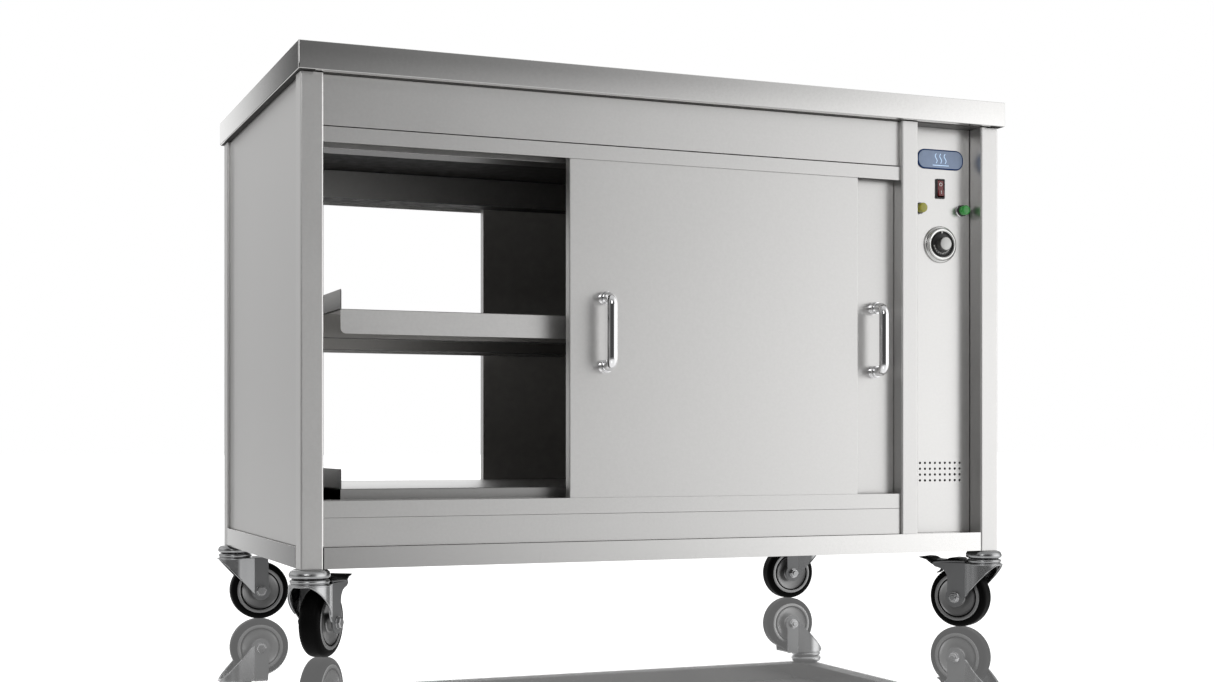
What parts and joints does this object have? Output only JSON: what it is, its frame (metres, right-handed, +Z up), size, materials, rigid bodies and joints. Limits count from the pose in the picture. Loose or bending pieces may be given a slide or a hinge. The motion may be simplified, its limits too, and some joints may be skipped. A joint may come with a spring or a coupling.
{
  "type": "food holding cabinet",
  "caption": "Mobile pass-through hot cupboard with sliding doors front and rear, shelves, worktop, side control column and swivel castors.",
  "frame": {"origin": "on the floor under the middle of the whole outline, front handles included", "axes": "+X along the length to the control column, -Y out of the front with the controls, +Z up"},
  "size_m": [1.2374, 0.7206, 0.9035],
  "materials": {
    "stainless": "fine brushed satin",
    "inner_stainless": "dull satin",
    "chrome": "polished",
    "zinc_plate": "bright zinc plate",
    "black_plastic": "moulded satin",
    "tyre_rubber": "moulded rubber",
    "wheel_hub": "moulded grey polypropylene",
    "yellow_lens": "translucent moulded lens",
    "green_lens": "translucent moulded lens",
    "red_rocker": "translucent moulded rocker",
    "black_knob": "satin with printed marks",
    "element_sheath": "heat darkened"
  },
  "bodies": {
    "cabinet": {"leg_front_left": "stainless", "leg_front_right": "stainless", "post_front": "stainless", "upper_fascia_front": "stainless", "top_track_front": "stainless", "bottom_track_front": "stainless", "lower_panel_front": "stainless", "leg_rear_left": "stainless", "leg_rear_right": "stainless", "post_rear": "stainless", "upper_fascia_rear": "stainless", "top_track_rear": "stainless", "bottom_track_rear": "stainless", "lower_panel_rear": "stainless", "base_frame": "stainless", "worktop": "stainless", "side_panel_left": "stainless", "side_panel_right": "stainless", "chamber_floor": "inner_stainless", "chamber_ceiling": "inner_stainless", "partition": "inner_stainless", "shelf_middle": "inner_stainless", "shelf_bottom": "inner_stainless", "shelf_frame": "inner_stainless", "control_panel": "stainless", "column_rear_cover": "stainless", "cable_gland": "black_plastic", "switch_housing": "black_plastic", "pilot_lamp_yellow": "yellow_lens", "pilot_lamp_green": "green_lens", "thermostat_bezel": "chrome", "fan_housing": "zinc_plate", "heating_element": "element_sheath", "castor_front_left_head": "zinc_plate", "castor_front_right_head": "zinc_plate", "castor_rear_left_head": "zinc_plate", "castor_rear_right_head": "zinc_plate"},
    "front_left_door": {"door_front_left": "stainless", "handle_front_left": "chrome"},
    "front_right_door": {"door_front_right": "stainless", "handle_front_right": "chrome"},
    "rear_left_door": {"door_rear_left": "stainless"},
    "rear_right_door": {"door_rear_right": "stainless"},
    "rocker": {"switch_rocker": "red_rocker"},
    "knob": {"thermostat_knob": "black_knob"},
    "fan": {"fan_rotor": "inner_stainless"},
    "front_left_swivel": {"castor_front_left_fork": "zinc_plate"},
    "front_left_wheel": {"castor_front_left_hub": "wheel_hub", "castor_front_left_tyre": "tyre_rubber"},
    "front_left_brake": {"castor_front_left_pedal": "black_plastic"},
    "front_right_swivel": {"castor_front_right_fork": "zinc_plate"},
    "front_right_wheel": {"castor_front_right_hub": "wheel_hub", "castor_front_right_tyre": "tyre_rubber"},
    "front_right_brake": {"castor_front_right_pedal": "black_plastic"},
    "rear_left_swivel": {"castor_rear_left_fork": "zinc_plate"},
    "rear_left_wheel": {"castor_rear_left_hub": "wheel_hub", "castor_rear_left_tyre": "tyre_rubber"},
    "rear_right_swivel": {"castor_rear_right_fork": "zinc_plate"},
    "rear_right_wheel": {"castor_rear_right_hub": "wheel_hub", "castor_rear_right_tyre": "tyre_rubber"}
  },
  "joints": [
    {"name": "front_left_door_slide", "type": "slide", "parent": "cabinet", "child": "front_left_door", "axis": [1, 0, 0], "range_m": [-0.3866, 0]},
    {"name": "front_right_door_slide", "type": "slide", "parent": "cabinet", "child": "front_right_door", "axis": [1, 0, 0], "range_m": [-0.024, 0]},
    {"name": "rear_left_door_slide", "type": "slide", "parent": "cabinet", "child": "rear_left_door", "axis": [1, 0, 0], "range_m": [-0.4456, 0.0205]},
    {"name": "rear_right_door_slide", "type": "slide", "parent": "cabinet", "child": "rear_right_door", "axis": [1, 0, 0], "range_m": [-0.4662, 0]},
    {"name": "power_rocker", "type": "hinge", "parent": "cabinet", "child": "rocker", "pos_m": [0.5095, -0.2878, 0.7565], "axis": [1, 0, 0], "range_deg": [0, 16]},
    {"name": "thermostat_turn", "type": "hinge", "parent": "cabinet", "child": "knob", "pos_m": [0.5095, -0.2887, 0.6605], "axis": [0, -1, 0], "range_deg": [-290, 0]},
    {"name": "fan_spin", "type": "hinge", "parent": "cabinet", "child": "fan", "pos_m": [0.46, 0.011, 0.3685], "axis": [1, 0, 0], "continuous": true},
    {"name": "castor_front_left_swivel", "type": "hinge", "parent": "cabinet", "child": "front_left_swivel", "pos_m": [-0.58695, -0.30575, 0.112], "axis": [0, 0, 1], "continuous": true},
    {"name": "castor_front_left_roll", "type": "hinge", "parent": "front_left_swivel", "child": "front_left_wheel", "pos_m": [-0.56209, -0.27128, 0.052], "axis": [-0.8111, 0.585, 0], "continuous": true},
    {"name": "castor_front_left_brake", "type": "hinge", "parent": "front_left_swivel", "child": "front_left_brake", "pos_m": [-0.56589, -0.27655, 0.112], "axis": [-0.8111, 0.585, 0], "range_deg": [0, 6]},
    {"name": "castor_front_right_swivel", "type": "hinge", "parent": "cabinet", "child": "front_right_swivel", "pos_m": [0.58695, -0.30575, 0.112], "axis": [0, 0, 1], "continuous": true},
    {"name": "castor_front_right_roll", "type": "hinge", "parent": "front_right_swivel", "child": "front_right_wheel", "pos_m": [0.56405, -0.26995, 0.052], "axis": [-0.8425, -0.5388, 0], "continuous": true},
    {"name": "castor_front_right_brake", "type": "hinge", "parent": "front_right_swivel", "child": "front_right_brake", "pos_m": [0.56755, -0.27542, 0.112], "axis": [-0.8425, -0.5388, 0], "range_deg": [0, 6]},
    {"name": "castor_rear_left_swivel", "type": "hinge", "parent": "cabinet", "child": "rear_left_swivel", "pos_m": [-0.58695, 0.32775, 0.112], "axis": [0, 0, 1], "continuous": true},
    {"name": "castor_rear_left_roll", "type": "hinge", "parent": "rear_left_swivel", "child": "rear_left_wheel", "pos_m": [-0.54447, 0.32634, 0.052], "axis": [0.0332, 0.9995, 0], "continuous": true},
    {"name": "castor_rear_right_swivel", "type": "hinge", "parent": "cabinet", "child": "rear_right_swivel", "pos_m": [0.58695, 0.32775, 0.112], "axis": [0, 0, 1], "continuous": true},
    {"name": "castor_rear_right_roll", "type": "hinge", "parent": "rear_right_swivel", "child": "rear_right_wheel", "pos_m": [0.54446, 0.32849, 0.052], "axis": [-0.0175, -0.9998, 0], "continuous": true}
  ]
}
